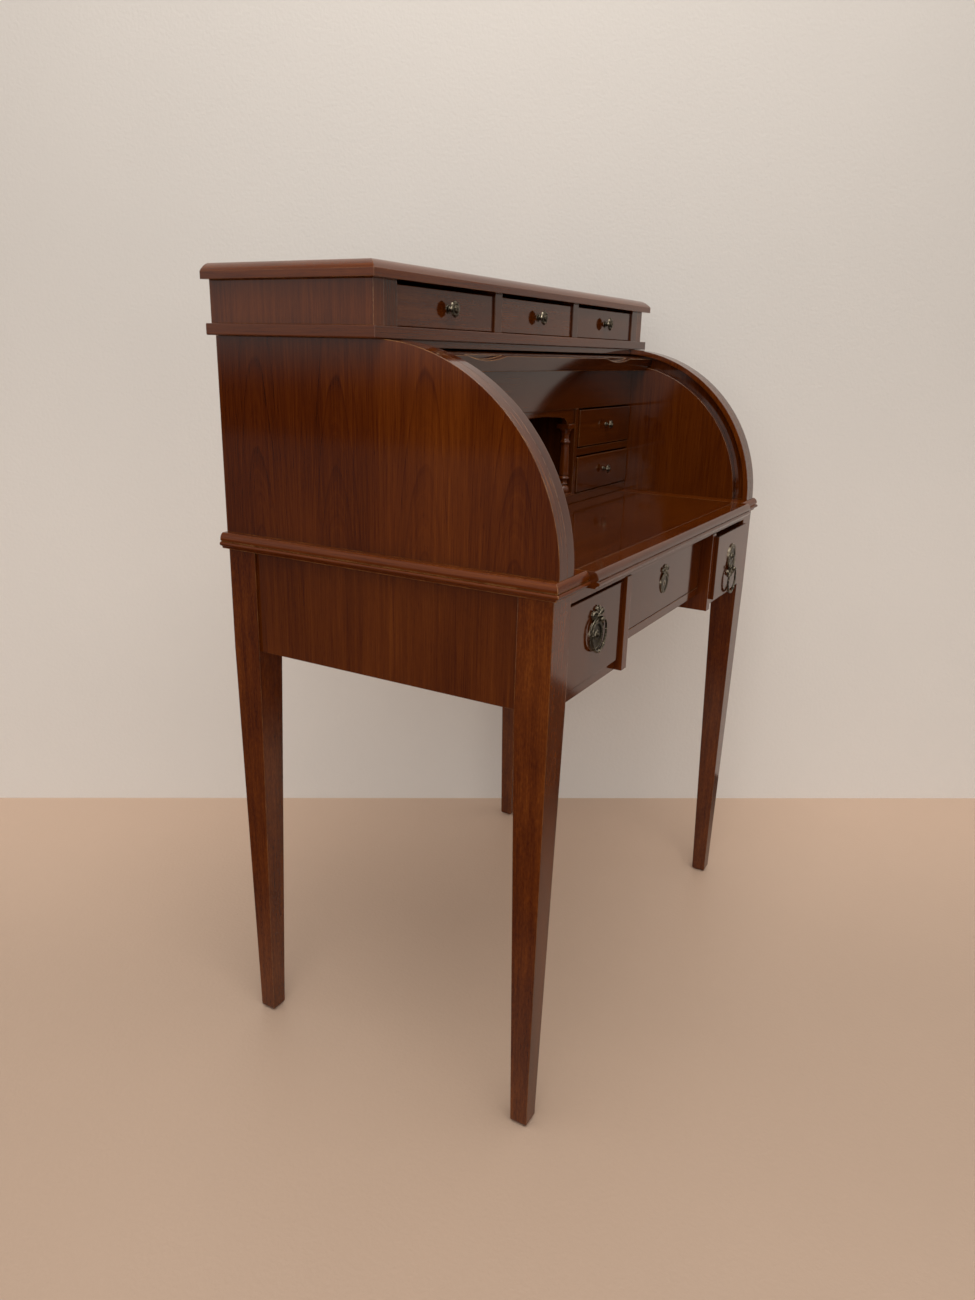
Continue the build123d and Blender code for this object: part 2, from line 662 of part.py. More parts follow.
def knob(x, front, z, radius, length):
    """A mushroom knob on a waisted stem, fixed to a face at y = front."""
    neck = length * 0.55
    rim = neck + 1.5
    crown = radius * 0.25
    profile = face_of(
        Line((0, 0), (radius * 0.55, 0)),
        Line((radius * 0.55, 0), (radius * 0.5, -1.5)),
        ThreePointArc((radius * 0.5, -1.5), (radius * 0.28, -neck * 0.6), (radius * 0.4, -neck)),
        Line((radius * 0.4, -neck), (radius, -rim)),
        ThreePointArc((radius, -rim), (radius * 0.75, -length + 1.6), (crown, -length)),
        Line((crown, -length), (0, -length)),
        Line((0, -length), (0, 0)),
    )
    return Pos(x, front, z) * revolve(profile, axis=Axis.Y)


def oval(half_width, half_height):
    """An oval of four arcs."""
    side = half_width * math.sqrt(0.5)
    end = half_height * math.sqrt(0.5)
    return face_of(
        ThreePointArc((side, -end), (half_width, 0), (side, end)),
        ThreePointArc((side, end), (0, half_height), (-side, end)),
        ThreePointArc((-side, end), (-half_width, 0), (-side, -end)),
        ThreePointArc((-side, -end), (0, -half_height), (side, -end)),
    )


def plate_solid(size=1.0):
    """A round plate with a bow of two loops and a crest above it; its back face is at y = 0."""
    top = PLATE_HALF_HEIGHT * size
    outline = oval(PLATE_HALF_WIDTH * size, top)
    outline += Pos(0, top + KNOT_RISE * size) * Circle(KNOT_RADIUS * size)
    outline += Pos(0, top + CREST_RISE * size) * Circle(CREST_RADIUS * size)
    for side in (-1, 1):
        outline += Pos(side * LOOP_X * size, top + LOOP_RISE * size) * Circle(LOOP_RADIUS * size)
    return along_y(outline, -PLATE_THICK, 0)


def pull_plate(x, front, z, upside_down):
    """A backplate with the post that carries the bail; the post's cross hole is at the pivot."""
    turn = -1 if upside_down else 1
    tilt = 180 if upside_down else 0
    plate = Pos(x, front, z) * Rot(0, tilt, 0) * plate_solid()
    pivot_z = z + turn * PIVOT_OFFSET
    pivot_y = front - BAIL_STANDOFF
    post_end = pivot_y - POST_RADIUS
    post_length = front - PLATE_THICK - post_end
    post_middle = (post_end + front - PLATE_THICK) / 2
    post = Pos(x, post_middle, pivot_z) * Rot(90, 0, 0) * Cylinder(POST_RADIUS, post_length)
    hole = Pos(x, pivot_y, pivot_z) * Rot(0, 90, 0) * Cylinder(BAIL_HOLE, 4 * POST_RADIUS)
    return (plate + post) - hole


def bail(x, front, z, upside_down):
    """An oval ring that hangs from the post: a straight pin at the top and one smooth loop below it."""
    turn = -1 if upside_down else 1
    pivot_z = z + turn * PIVOT_OFFSET
    corner = BAIL_HALF_WIDTH - BAIL_STRAIGHT
    waist = -BAIL_DROP + BAIL_HALF_WIDTH
    top_right = (BAIL_STRAIGHT, 0)
    top_left = (-BAIL_STRAIGHT, 0)
    high_right = (BAIL_HALF_WIDTH, -corner)
    low_right = (BAIL_HALF_WIDTH, waist)
    low_left = (-BAIL_HALF_WIDTH, waist)
    high_left = (-BAIL_HALF_WIDTH, -corner)
    path = Wire(
        [
            Line(top_left, top_right),
            TangentArc(top_right, high_right, tangent=(1, 0)),
            Line(high_right, low_right),
            TangentArc(low_right, low_left, tangent=(0, -1)),
            Line(low_left, high_left),
            TangentArc(high_left, top_left, tangent=(0, 1)),
        ]
    )
    centre = (x, front - BAIL_STANDOFF, pivot_z)
    hanging = Plane(origin=centre, x_dir=(1, 0, 0), z_dir=(0, -1, 0))
    section = Plane(origin=centre, z_dir=(1, 0, 0)) * Circle(BAIL_WIRE)
    return sweep(section, path=hanging * path)


def make_metalwork():
    left_front = SIDE_FRONT_Y - LEFT_DRAWER_OUT
    right_front = SIDE_FRONT_Y - RIGHT_DRAWER_OUT
    save("pull_plate_left", pull_plate(-SIDE_PULL_X, left_front, LEFT_PLATE_Z, False))
    save("pull_bail_left", bail(-SIDE_PULL_X, left_front, LEFT_PLATE_Z, False))
    save("pull_plate_right", pull_plate(SIDE_PULL_X, right_front, RIGHT_PLATE_Z, True))
    save("pull_bail_right", bail(SIDE_PULL_X, right_front, RIGHT_PLATE_Z, True))

    plate = plate_solid(ESCUTCHEON_SCALE)
    slot = Pos(0, 0, -KEYHOLE_DROP / 2) * Box(KEYHOLE_SLOT, 3 * PLATE_THICK, KEYHOLE_DROP)
    hole = Rot(90, 0, 0) * Cylinder(KEYHOLE_RADIUS, 3 * PLATE_THICK)
    save("escutcheon", Pos(0, CENTRE_FRONT_Y, ESCUTCHEON_Z) * (plate - hole - slot))


os.makedirs("parts", exist_ok=True)
make_stand()
make_frieze()
make_desk_board()
make_case()
make_tambour()
make_gallery()
make_interior()
make_frieze_drawers()
make_gallery_drawers()
make_interior_drawers()
make_metalwork()
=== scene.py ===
import math

import bmesh
import bpy
from mathutils import Matrix, Vector


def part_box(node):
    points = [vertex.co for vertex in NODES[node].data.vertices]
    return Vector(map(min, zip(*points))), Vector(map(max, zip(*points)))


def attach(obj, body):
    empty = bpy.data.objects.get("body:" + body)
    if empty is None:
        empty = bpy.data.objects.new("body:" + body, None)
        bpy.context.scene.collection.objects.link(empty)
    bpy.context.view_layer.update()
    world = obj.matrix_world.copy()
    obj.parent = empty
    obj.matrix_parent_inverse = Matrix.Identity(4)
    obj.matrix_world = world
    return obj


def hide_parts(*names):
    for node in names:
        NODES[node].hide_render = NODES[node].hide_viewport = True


# The looks of a roll top desk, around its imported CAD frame. Metres, x across, y back, z up.

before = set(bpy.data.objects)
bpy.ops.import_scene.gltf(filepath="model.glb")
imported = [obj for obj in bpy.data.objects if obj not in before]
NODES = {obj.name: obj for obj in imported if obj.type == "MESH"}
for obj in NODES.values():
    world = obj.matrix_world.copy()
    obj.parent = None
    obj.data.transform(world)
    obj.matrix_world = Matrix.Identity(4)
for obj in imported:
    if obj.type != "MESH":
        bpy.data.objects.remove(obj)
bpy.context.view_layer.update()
MM = 0.001


# --- Camera, floor and light --------------------------------------------------------------------


def make_camera():
    yaw = math.radians(-60.438)
    pitch = math.radians(-17.615)
    roll = math.radians(1.534)
    forward = Vector(
        (-math.sin(yaw) * math.cos(pitch), math.cos(yaw) * math.cos(pitch), math.sin(pitch))
    )
    level = Vector((math.cos(yaw), math.sin(yaw), 0))
    above = level.cross(forward)
    right = math.cos(roll) * level + math.sin(roll) * above
    up = math.cos(roll) * above - math.sin(roll) * level
    data = bpy.data.cameras.new("camera")
    data.sensor_width = 36.0
    data.lens = 936.449 / 1300 * 36.0
    data.clip_start = 0.01
    camera = bpy.data.objects.new("camera", data)
    bpy.context.scene.collection.objects.link(camera)
    camera.matrix_world = Matrix.Translation((-1.31705, -0.67109, 0.99982)) @ Matrix(
        (right, up, -forward)
    ).transposed().to_4x4()
    bpy.context.scene.camera = camera


class Tree:
    """Adds nodes to a material, a world or a node group."""

    def __init__(self, tree):
        self.nodes = tree.nodes
        self.links = tree.links
        self.nodes.clear()

    def link(self, socket, value):
        if isinstance(value, bpy.types.NodeSocket):
            self.links.new(value, socket)
        elif value is not None:
            socket.default_value = value

    def add(self, kind, *values, out=0, named=None, **settings):
        node = self.nodes.new("ShaderNode" + kind)
        for key, value in settings.items():
            setattr(node, key, value)
        for socket, value in zip(node.inputs, values):
            self.link(socket, value)
        for key, value in (named or {}).items():
            self.link(node.inputs[key], value)
        return node.outputs[out]

    def math(self, operation, *values):
        return self.add("Math", *values, operation=operation)

    def vector(self, operation, *values, out=0):
        return self.add("VectorMath", *values, operation=operation, out=out)

    def scaled(self, vector, scale):
        return self.vector("MULTIPLY", vector, scale)

    def noise(self, vector, detail=2.0, roughness=0.5, scale=1.0):
        """A noise value centred on zero, mostly within 0.5 of it."""
        values = {"Vector": vector, "Scale": scale, "Detail": detail, "Roughness": roughness}
        return self.math("SUBTRACT", self.add("TexNoise", named=values), 0.5)

    def noise_line(self, value, detail=2.0):
        """The same along one value, centred on zero."""
        values = {"W": value, "Scale": 1.0, "Detail": detail, "Roughness": 0.6}
        found = self.add("TexNoise", named=values, noise_dimensions="1D")
        return self.math("SUBTRACT", found, 0.5)

    def span(self, value, low, high, to_low=0.0, to_high=1.0, smooth=True):
        kind = "SMOOTHSTEP" if smooth else "LINEAR"
        return self.add("MapRange", value, low, high, to_low, to_high, interpolation_type=kind)

    def total(self, start, *terms):
        """start plus each (value, weight)."""
        for value, weight in terms:
            start = self.math("MULTIPLY_ADD", value, weight, start)
        return start

    def mix(self, factor, first, second, blend="MIX"):
        node = self.nodes.new("ShaderNodeMix")
        node.data_type = "RGBA"
        node.blend_type = blend
        self.link(node.inputs[0], factor)
        self.link(node.inputs[6], first)
        self.link(node.inputs[7], second)
        return node.outputs[2]

    def mix_vector(self, factor, first, second):
        node = self.nodes.new("ShaderNodeMix")
        node.data_type = "VECTOR"
        self.link(node.inputs[0], factor)
        self.link(node.inputs[4], first)
        self.link(node.inputs[5], second)
        return node.outputs[1]

    def ramp(self, value, stops):
        node = self.nodes.new("ShaderNodeValToRGB")
        elements = node.color_ramp.elements
        while len(elements) < len(stops):
            elements.new(0.5)
        for element, (position, colour) in zip(elements, stops):
            element.position = position
            element.color = (*colour, 1.0)
        self.links.new(value, node.inputs[0])
        return node.outputs[0]


def new_material(name):
    material = bpy.data.materials.new(name)
    material.use_nodes = True
    return material, Tree(material.node_tree)


def finish_material(tree, shader):
    output = tree.nodes.new("ShaderNodeOutputMaterial")
    tree.links.new(shader, output.inputs[0])


def stage_sheet(name, corners, material):
    mesh = bpy.data.meshes.new(name)
    mesh.from_pydata(corners, [], [tuple(range(len(corners)))])
    mesh.materials.append(material)
    sheet = bpy.data.objects.new(name, mesh)
    bpy.context.scene.collection.objects.link(sheet)


def stage_material(name, colour, roughness, painted_falloff, one_sided=False):
    """A plain matt surface, with painted light and shade on it. A one sided one is clear from behind, so
    that it hides nothing there.
    painted_falloff is (direction, start, end, level): a painted light falloff, the tone going from 1 at
    start to level at end.
    Seen in reflections, a two sided one is painted near black away from the middle: painted shade."""
    material, tree = new_material(name)
    coords = tree.add("TexCoord", out=3)
    tone = tree.math("MULTIPLY_ADD", tree.noise(coords, 4.0, scale=3.0), 0.05, 1.0)
    # Painted light falloff: the floor is painted lighter towards the wall, and the wall darker higher up.
    direction, start, end, level = painted_falloff
    reach = tree.vector("DOT_PRODUCT", coords, direction, out=1)
    tone = tree.math("MULTIPLY", tone, tree.span(reach, start, end, 1.0, level))
    tone_and_painted_shade = tree.mix(1.0, (*colour, 1.0), tone, "MULTIPLY")
    if not one_sided:
        # Painted shade in reflections: away from the middle the floor is painted near black, standing in for
        # a darker room.
        mirrored = tree.add("LightPath", out=3)
        distance = tree.vector("LENGTH", coords, out=1)
        tone_and_painted_shade = tree.mix(tree.math("MULTIPLY", mirrored, tree.span(distance, 0.30, 0.95)), tone_and_painted_shade, REFLECTED_FLOOR_PAINTED_SHADE)
    grit = tree.noise(coords, 2.0, scale=160.0)
    bump = tree.add("Bump", named={"Strength": 0.25, "Distance": 0.002, "Height": grit})
    shader = tree.add(
        "BsdfPrincipled", named={"Base Color": tone_and_painted_shade, "Roughness": roughness, "Normal": bump}
    )
    if one_sided:
        behind = tree.add("NewGeometry", out=6)
        shader = tree.add("MixShader", behind, shader, tree.add("BsdfTransparent"))
    finish_material(tree, shader)
    return material


# Painted shade: the floor's colour where reflections see it far from the desk.
REFLECTED_FLOOR_PAINTED_SHADE = (0.02, 0.013, 0.008, 1.0)
# Painted light: the floor is painted up to a third lighter towards the wall.
FLOOR_PAINTED_LIGHT = ((0.84, 0.543, 0), -0.3, 0.5, 1.32)
# Painted shade: the wall is painted darker higher up.
WALL_PAINTED_SHADE = ((0, 0, 1), 0.5, 1.2, 0.86)
FLOOR_COLOUR = (0.50, 0.365, 0.275)
WALL_COLOUR = (0.79, 0.765, 0.735)
WALL_POINT = Vector((0.423, 0.309, 0.0))
WALL_ALONG = Vector((0.543, -0.840, 0.0))
WALL_HALF_LENGTH = 5.0
WALL_HEIGHT = 5.0
FLOOR_HALF = 8.0


def make_stage():
    floor = stage_material("stage_floor", FLOOR_COLOUR, 0.45, FLOOR_PAINTED_LIGHT)
    corners = [(-FLOOR_HALF, -FLOOR_HALF, 0), (FLOOR_HALF, -FLOOR_HALF, 0)]
    corners += [(FLOOR_HALF, FLOOR_HALF, 0), (-FLOOR_HALF, FLOOR_HALF, 0)]
    stage_sheet("stage_floor", corners, floor)
    wall = stage_material("stage_wall", WALL_COLOUR, 0.9, WALL_PAINTED_SHADE, one_sided=True)
    near = WALL_POINT + WALL_ALONG * WALL_HALF_LENGTH
    far = WALL_POINT - WALL_ALONG * WALL_HALF_LENGTH
    up = Vector((0, 0, WALL_HEIGHT))
    stage_sheet("stage_wall", [near, near + up, far + up, far], wall)


def area_light(name, place, target, size, power, colour):
    data = bpy.data.lights.new(name, "AREA")
    data.shape = "DISK"
    data.size = size
    data.energy = power
    data.color = colour
    light = bpy.data.objects.new(name, data)
    bpy.context.scene.collection.objects.link(light)
    light.location = place
    light.rotation_mode = "QUATERNION"
    light.rotation_quaternion = (Vector(target) - Vector(place)).to_track_quat("-Z", "Y")


def make_light():
    world = bpy.data.worlds.new("studio")
    bpy.context.scene.world = world
    world.use_nodes = True
    tree = Tree(world.node_tree)
    height = tree.add("SeparateXYZ", tree.add("TexCoord"), out=2)
    sky = tree.ramp(
        tree.span(height, 0.0, 1.0, smooth=False),
        [(0.0, (0.62, 0.58, 0.54)), (0.5, (0.66, 0.63, 0.60)), (1.0, (0.80, 0.77, 0.74))],
    )
    glow = tree.mix(tree.span(height, -0.04, 0.02), (0.015, 0.010, 0.007, 1.0), sky)
    seen = tree.add("LightPath")
    room = tree.mix(seen, glow, (0.60, 0.555, 0.51, 1.0))
    shader = tree.add("Background", room, 1.0)
    output = tree.nodes.new("ShaderNodeOutputWorld")
    tree.links.new(shader, output.inputs[0])
    area_light("ceiling", (-0.8, -0.5, 2.7), (0.1, 0.2, 0.4), 1.8, 30.0, (1.0, 0.96, 0.90))
    area_light("fill", (-2.9, -0.9, 1.5), (-0.2, 0.1, 0.6), 1.8, 14.0, (1.0, 0.96, 0.90))
    bpy.context.scene.view_settings.view_transform = "Standard"


# --- Wood ---------------------------------------------------------------------------------------


def grain_group():
    """Figure of stained cherry. The vector is (along the grain, across it, depth), in metres."""
    group = bpy.data.node_groups.new("cherry_grain", "ShaderNodeTree")
    face = group.interface
    face.new_socket("Vector", in_out="INPUT", socket_type="NodeSocketVector")
    for name, value in (("Seam", 0.0), ("Width", 0.126), ("Figure", 1.0), ("Fleck", 0.0)):
        face.new_socket(name, in_out="INPUT", socket_type="NodeSocketFloat").default_value = value
    for name in ("Tone", "Height", "Leaf"):
        face.new_socket(name, in_out="OUTPUT", socket_type="NodeSocketFloat")
    tree = Tree(group)
    given = group.nodes.new("NodeGroupInput").outputs
    vector, seam, width, figure, fleck = (given[i] for i in range(5))
    along = tree.add("SeparateXYZ", vector)
    across = tree.add("SeparateXYZ", vector, out=1)

    slow = tree.noise(tree.scaled(vector, (2.2, 8.0, 8.0)), 1.0)
    quick = tree.noise(tree.scaled(vector, (11.0, 42.0, 42.0)), 2.0)
    wandering = tree.total(across, (slow, 0.016), (quick, 0.0035))
    leaf_place = tree.math("DIVIDE", tree.math("SUBTRACT", across, seam), width)
    leaf = tree.math("FLOOR", leaf_place)
    chance = tree.add("TexWhiteNoise", named={"W": leaf}, noise_dimensions="1D")
    middle = tree.math("MULTIPLY_ADD", tree.math("ADD", leaf, 0.5), width, seam)
    offset = tree.math("SUBTRACT", wandering, middle)
    squared = tree.math("MULTIPLY_ADD", offset, offset, 0.00012)
    spread = tree.math("SUBTRACT", tree.math("SQRT", squared), 0.011)
    steepening = tree.math("MULTIPLY", spread, spread)
    rise = tree.math("SUBTRACT", along, 0.993)
    ring = tree.total(0.0, (spread, 26.0), (steepening, 1700.0), (rise, 9.5), (chance, 0.35))
    ring = tree.total(ring, (tree.noise(tree.scaled(vector, (7.0, 30.0, 30.0)), 2.0), 0.4))

    edge = tree.math("FRACT", ring)
    line = tree.math("MULTIPLY", tree.math("POWER", edge, 9.0), tree.span(edge, 0.93, 1.0, 1.0, 0.0))
    line = tree.math("MULTIPLY", line, tree.span(spread, 0.015, 0.055, 1.0, 0.45))
    fine_ring = tree.noise_line(tree.math("MULTIPLY", ring, 7.0), 3.0)
    shown = tree.span(tree.noise(tree.scaled(vector, (6.0, 20.0, 20.0)), 1.0), -0.16, 0.12, 0.45, 1.0)
    marks = tree.total(0.0, (line, -0.62), (fine_ring, 0.62))
    marks = tree.math("MULTIPLY", tree.math("MULTIPLY", marks, shown), figure)

    streak = tree.noise(tree.scaled(vector, (2.6, 150.0, 150.0)), 3.0, 0.6)
    fibre = tree.noise(tree.scaled(vector, (16.0, 900.0, 900.0)), 2.0, 0.6)
    cloud = tree.noise(tree.scaled(vector, (3.0, 7.0, 7.0)), 2.0)
    pore = tree.noise(tree.scaled(vector, (75.0, 1500.0, 1500.0)), 1.0)
    pore = tree.span(pore, 0.10, 0.22)
    speck = tree.noise(tree.scaled(vector, (150.0, 420.0, 420.0)), 2.0, 0.6)
    blotch = tree.noise(tree.scaled(vector, (14.0, 60.0, 60.0)), 3.0, 0.6)
    speckle = tree.math("MULTIPLY", tree.total(0.0, (speck, 0.9), (blotch, 0.8)), fleck)
    tone = tree.total(
        0.47, (streak, 0.46), (fibre, 0.50), (cloud, 0.5), (marks, 0.42), (pore, -0.13), (speckle, 1.0)
    )
    tone = tree.total(tone, (tree.math("SUBTRACT", chance, 0.5), 0.07))
    height = tree.total(0.0, (fibre, 0.5), (pore, -1.0), (streak, 0.4))
    output = group.nodes.new("NodeGroupOutput")
    tree.links.new(tone, output.inputs[0])
    tree.links.new(height, output.inputs[1])
    tree.links.new(chance, output.inputs[2])
    return group


GRAIN = grain_group()
AXIS_Y = 0.0115
AXIS_Z = 0.760
CHERRY = [
    (0.00, (0.024, 0.0032, 0.0003)),
    (0.30, (0.064, 0.0112, 0.0010)),
    (0.55, (0.112, 0.0240, 0.0021)),
    (0.78, (0.172, 0.0450, 0.0048)),
    (1.00, (0.280, 0.0900, 0.0150)),
]
WEAR = (0.50, 0.25, 0.085, 1.0)


def ordered(tree, place, order):
    """The axes of a place put in (along, across, depth) order, such as "zyx"."""
    parts = [tree.add("SeparateXYZ", place, out="xyz".index(axis)) for axis in order]
    return tree.add("CombineXYZ", *parts)


def around_axis(tree, place):
    """A place on the roll top's curve as (distance round the curve, across the desk, radius)."""
    back = tree.math("SUBTRACT", tree.add("SeparateXYZ", place, out=1), AXIS_Y)
    up = tree.math("SUBTRACT", tree.add("SeparateXYZ", place, out=2), AXIS_Z)
    radius = tree.math("SQRT", tree.math("MULTIPLY_ADD", back, back, tree.math("MULTIPLY", up, up)))
    turn = tree.math("ARCTAN2", up, tree.math("MULTIPLY", back, -1.0))
    along = tree.math("MULTIPLY", turn, 0.252)
    return tree.add("CombineXYZ", along, tree.add("SeparateXYZ", place), radius)


def sideways(tree):
    """1 where the surface faces left or right, 0 elsewhere."""
    normal = tree.add("SeparateXYZ", tree.add("TexCoord", out=1))
    return tree.span(tree.math("ABSOLUTE", normal), 0.69, 0.71, smooth=False)


def wood(
    name, order, seed=0.0, figure=0.35, fleck=0.0, side_order=None, curved_edge=False,
    seam=0.0, width=0.126, tone_and_painted_shade=1.0, colours=CHERRY, wear=0.5, coat=1.0, seam_tone=0.0,
):
    """Stained, lacquered wood. side_order is the grain on faces that face left or right."""
    material, tree = new_material(name)
    place = tree.add("TexCoord", out=3)
    vector = ordered(tree, place, order)
    if side_order:
        vector = tree.mix_vector(sideways(tree), vector, ordered(tree, place, side_order))
    if curved_edge:
        flat = sideways(tree)
        vector = tree.mix_vector(flat, around_axis(tree, place), vector)
        figure = tree.math("MULTIPLY", flat, figure)
    shifted = vector
    if seed:
        shifted = tree.vector("ADD", vector, (seed * 1.7, seed * 0.61, seed * 0.37))
        seam = seam + seed * 0.61
    group = tree.nodes.new("ShaderNodeGroup")
    group.node_tree = GRAIN
    for socket, value in zip(group.inputs, (shifted, seam, width, figure, fleck)):
        tree.link(socket, value)
    tone, height, _ = group.outputs
    if curved_edge:
        tone = tree.math("SUBTRACT", tone, tree.math("MULTIPLY_ADD", flat, -0.16, 0.16))
    if seam_tone:
        across = tree.add("SeparateXYZ", vector, out=1)
        other_leaf = tree.span(across, seam - 0.0004, seam + 0.0004, 0.0, -seam_tone)
        tone = tree.math("ADD", tone, other_leaf)
    # tone_and_painted_shade scales the ramp: a darker tone on some parts, and painted shade on the parts
    # inside the roll top and on front-facing drawers.
    colour = tree.ramp(tone, [(stop, tuple(c * tone_and_painted_shade for c in rgb)) for stop, rgb in colours])

    rounded = tree.add("Bevel", 0.0016, samples=4)
    sharp = tree.add("NewGeometry", out=1)
    bend = tree.vector("DOT_PRODUCT", rounded, sharp, out=1)
    arris = tree.span(bend, 0.985, 0.80)
    rub = tree.noise(tree.scaled(place, (38.0, 38.0, 38.0)), 4.0, 0.65)
    rubbed = tree.math("MULTIPLY", arris, tree.span(rub, -0.08, 0.20, 0.30, 1.0))
    if curved_edge:
        # Scuff streaks on the curved edge band, also painted sheen: a lighter colour standing in for a
        # brighter reflection.
        scuff_and_sheen = tree.span(tree.noise(tree.scaled(vector, (24.0, 240.0, 0.0)), 3.0, 0.65), 0.02, 0.22)
        scuff_and_sheen = tree.math("MULTIPLY", scuff_and_sheen, tree.math("MULTIPLY_ADD", flat, -0.14, 0.14))
        rubbed = tree.math("MAXIMUM", rubbed, scuff_and_sheen)
    colour = tree.mix(tree.math("MULTIPLY", rubbed, wear), colour, WEAR)

    smudge = tree.noise(tree.scaled(place, (9.0, 9.0, 9.0)), 3.0, 0.6)
    roughness = tree.total(0.40, (smudge, 0.22), (rubbed, 0.15), (height, 0.06))
    bump = tree.add(
        "Bump", named={"Strength": 0.35, "Distance": 0.00012, "Height": height, "Normal": rounded}
    )
    named = {
        "Base Color": colour,
        "Roughness": roughness,
        "Specular IOR Level": 0.0,
        "Coat Weight": coat,
        "Coat Roughness": 0.09,
        "Coat IOR": 1.5,
        "Normal": bump,
        "Coat Normal": rounded,
    }
    finish_material(tree, tree.add("BsdfPrincipled", named=named))
    return material


def dress(material, *names):
    """Give CAD nodes a material in their own slots."""
    for name in names:
        mesh = NODES[name].data
        if mesh.materials:
            for index in range(len(mesh.materials)):
                mesh.materials[index] = material
        else:
            mesh.materials.append(material)


DRAWER_WOOD = [
    (0.0, (0.16, 0.085, 0.040)),
    (0.45, (0.33, 0.20, 0.105)),
    (0.75, (0.45, 0.30, 0.17)),
    (1.0, (0.58, 0.42, 0.26)),
]
BACK_WOOD = [
    (0.0, (0.045, 0.012, 0.004)),
    (0.5, (0.105, 0.032, 0.011)),
    (1.0, (0.19, 0.075, 0.03)),
]


def dress_wood():
    sides = ("left", "right")
    for index, side in enumerate(sides):
        for row, name in enumerate(("leg_front_", "leg_back_")):
            seed = 1.0 + index + 2 * row
            dress(wood(name + side, "zyx", seed, 0.25, 0.55, tone_and_painted_shade=1.0, wear=0.6), name + side)
        apron = wood("side_apron_" + side, "zyx", 5.0 + index, 0.22, 0.10, width=0.19, tone_and_painted_shade=0.85)
        dress(apron, "side_apron_" + side)
        case_side = wood(
            "case_side_" + side, "zyx", 0.0, 1.0, curved_edge=True, seam=0.0045,
            wear=1.3, seam_tone=0.07,
        )
        dress(case_side, "case_side_" + side)
        board = wood(
            "desk_side_board_" + side, "xyz", 7.0 + index, 0.15, side_order="yzx", tone_and_painted_shade=1.05, wear=1.4,
            coat=0.6,
        )
        dress(board, "desk_side_board_" + side)
        divider = wood("frieze_divider_" + side, "zyx", 9.0 + index, 0.2, 0.1, tone_and_painted_shade=1.05)
        dress(divider, "frieze_divider_" + side)
    dress(wood("back_apron", "xzy", 11.0, 0.5), "back_apron")
    dress(wood("track_rims", "zyx", 12.0, 0.1, curved_edge=True, wear=0.25), "track_rims")
    # Painted shade: the liners are darkened (0.8), for the shade inside the roll top.
    dress(wood("track_liners", "zyx", 13.0, 0.45, curved_edge=True, tone_and_painted_shade=0.8), "track_liners")
    dress(wood("desk_back_board", "xyz", 14.0, 0.2), "desk_back_board")
    dress(wood("writing_slide_board", "xyz", 15.0, 0.25, width=0.16, tone_and_painted_shade=0.72), "writing_slide_board")
    dress(wood("writing_slide_edge", "xzy", 16.0, 0.1, wear=0.5, tone_and_painted_shade=0.8), "writing_slide_edge")
    dress(wood("frieze_top_rail", "xzy", 17.0, 0.1), "frieze_top_rail")
    dress(wood("drawer_rails", "xzy", 18.0, 0.15, wear=0.7), "drawer_rails")
    dress(wood("case_top", "xyz", 19.0, 0.3), "case_top")
    belt = wood("belt_shelf", "xyz", 20.0, 0.1, side_order="yzx", wear=0.7, tone_and_painted_shade=0.85)
    dress(belt, "belt_shelf")
    cornice = wood("cornice", "xyz", 21.0, 0.35, side_order="yzx", wear=0.7, width=0.13)
    dress(cornice, "cornice")
    dress(wood("gallery_sides", "zyx", 22.0, 0.25, fleck=0.15, wear=1.2), "gallery_sides")
    # Painted shade: the gallery uprights are darkened (0.66), their front faces taking less light.
    dress(wood("gallery_uprights", "zxy", 23.0, 0.15, tone_and_painted_shade=0.66), "gallery_uprights")
    # Painted shade: the interior case, fascia and valance are darkened (0.62), for the shade inside the roll
    # top.
    dress(wood("interior_case", "xzy", 24.0, 0.15, side_order="zyx", tone_and_painted_shade=0.62), "interior_case")
    dress(wood("interior_fascia", "xzy", 25.0, 0.3, tone_and_painted_shade=0.62), "interior_fascia")
    dress(wood("interior_valance", "xzy", 26.0, 0.1, tone_and_painted_shade=0.62), "interior_valance")
    dress(wood("tambour_lead_rail", "xzy", 27.0, 0.15, wear=1.2, tone_and_painted_shade=0.42), "tambour_lead_rail")
    dress(wood("tambour_slats", "xzy", 28.0, 0.15, wear=0.6), "tambour_slats")
    # Painted shade: the frieze drawer fronts and gallery drawers are darkened (0.8), for less light falling
    # on their front faces.
    for index, side in enumerate(("left", "centre", "right")):
        front = wood("frieze_drawer_front_" + side, "zxy", 30.0 + index, 0.15, 0.1, wear=0.7, tone_and_painted_shade=0.8)
        dress(front, "frieze_drawer_front_" + side)
        drawer = wood("gallery_drawer_" + side, "xzy", 33.0 + index, 0.2, 0.25, wear=0.7, tone_and_painted_shade=0.8)
        dress(drawer, "gallery_drawer_" + side)
    # Painted shade: the interior drawers are darkened (0.65), for the shade inside the roll top.
    for row_index, row in enumerate(("upper", "lower")):
        for index, side in enumerate(sides):
            name = f"interior_drawer_{row}_{side}"
            seed = 36.0 + 2 * row_index + index
            dress(wood(name, "xzy", seed, 0.25, 0.15, wear=0.9, tone_and_painted_shade=0.65), name)
    boxes = wood(
        "drawer_wood", "yxz", 41.0, 0.4, colours=DRAWER_WOOD, wear=0.3, coat=0.0, side_order="yzx"
    )
    dress(boxes, "drawer_runners", *[f"frieze_drawer_box_{s}" for s in ("left", "centre", "right")])
    back = wood("back_panel", "xzy", 42.0, 0.6, colours=BACK_WOOD, wear=0.3, coat=0.0, width=0.2)
    dress(back, "case_back", "gallery_back")


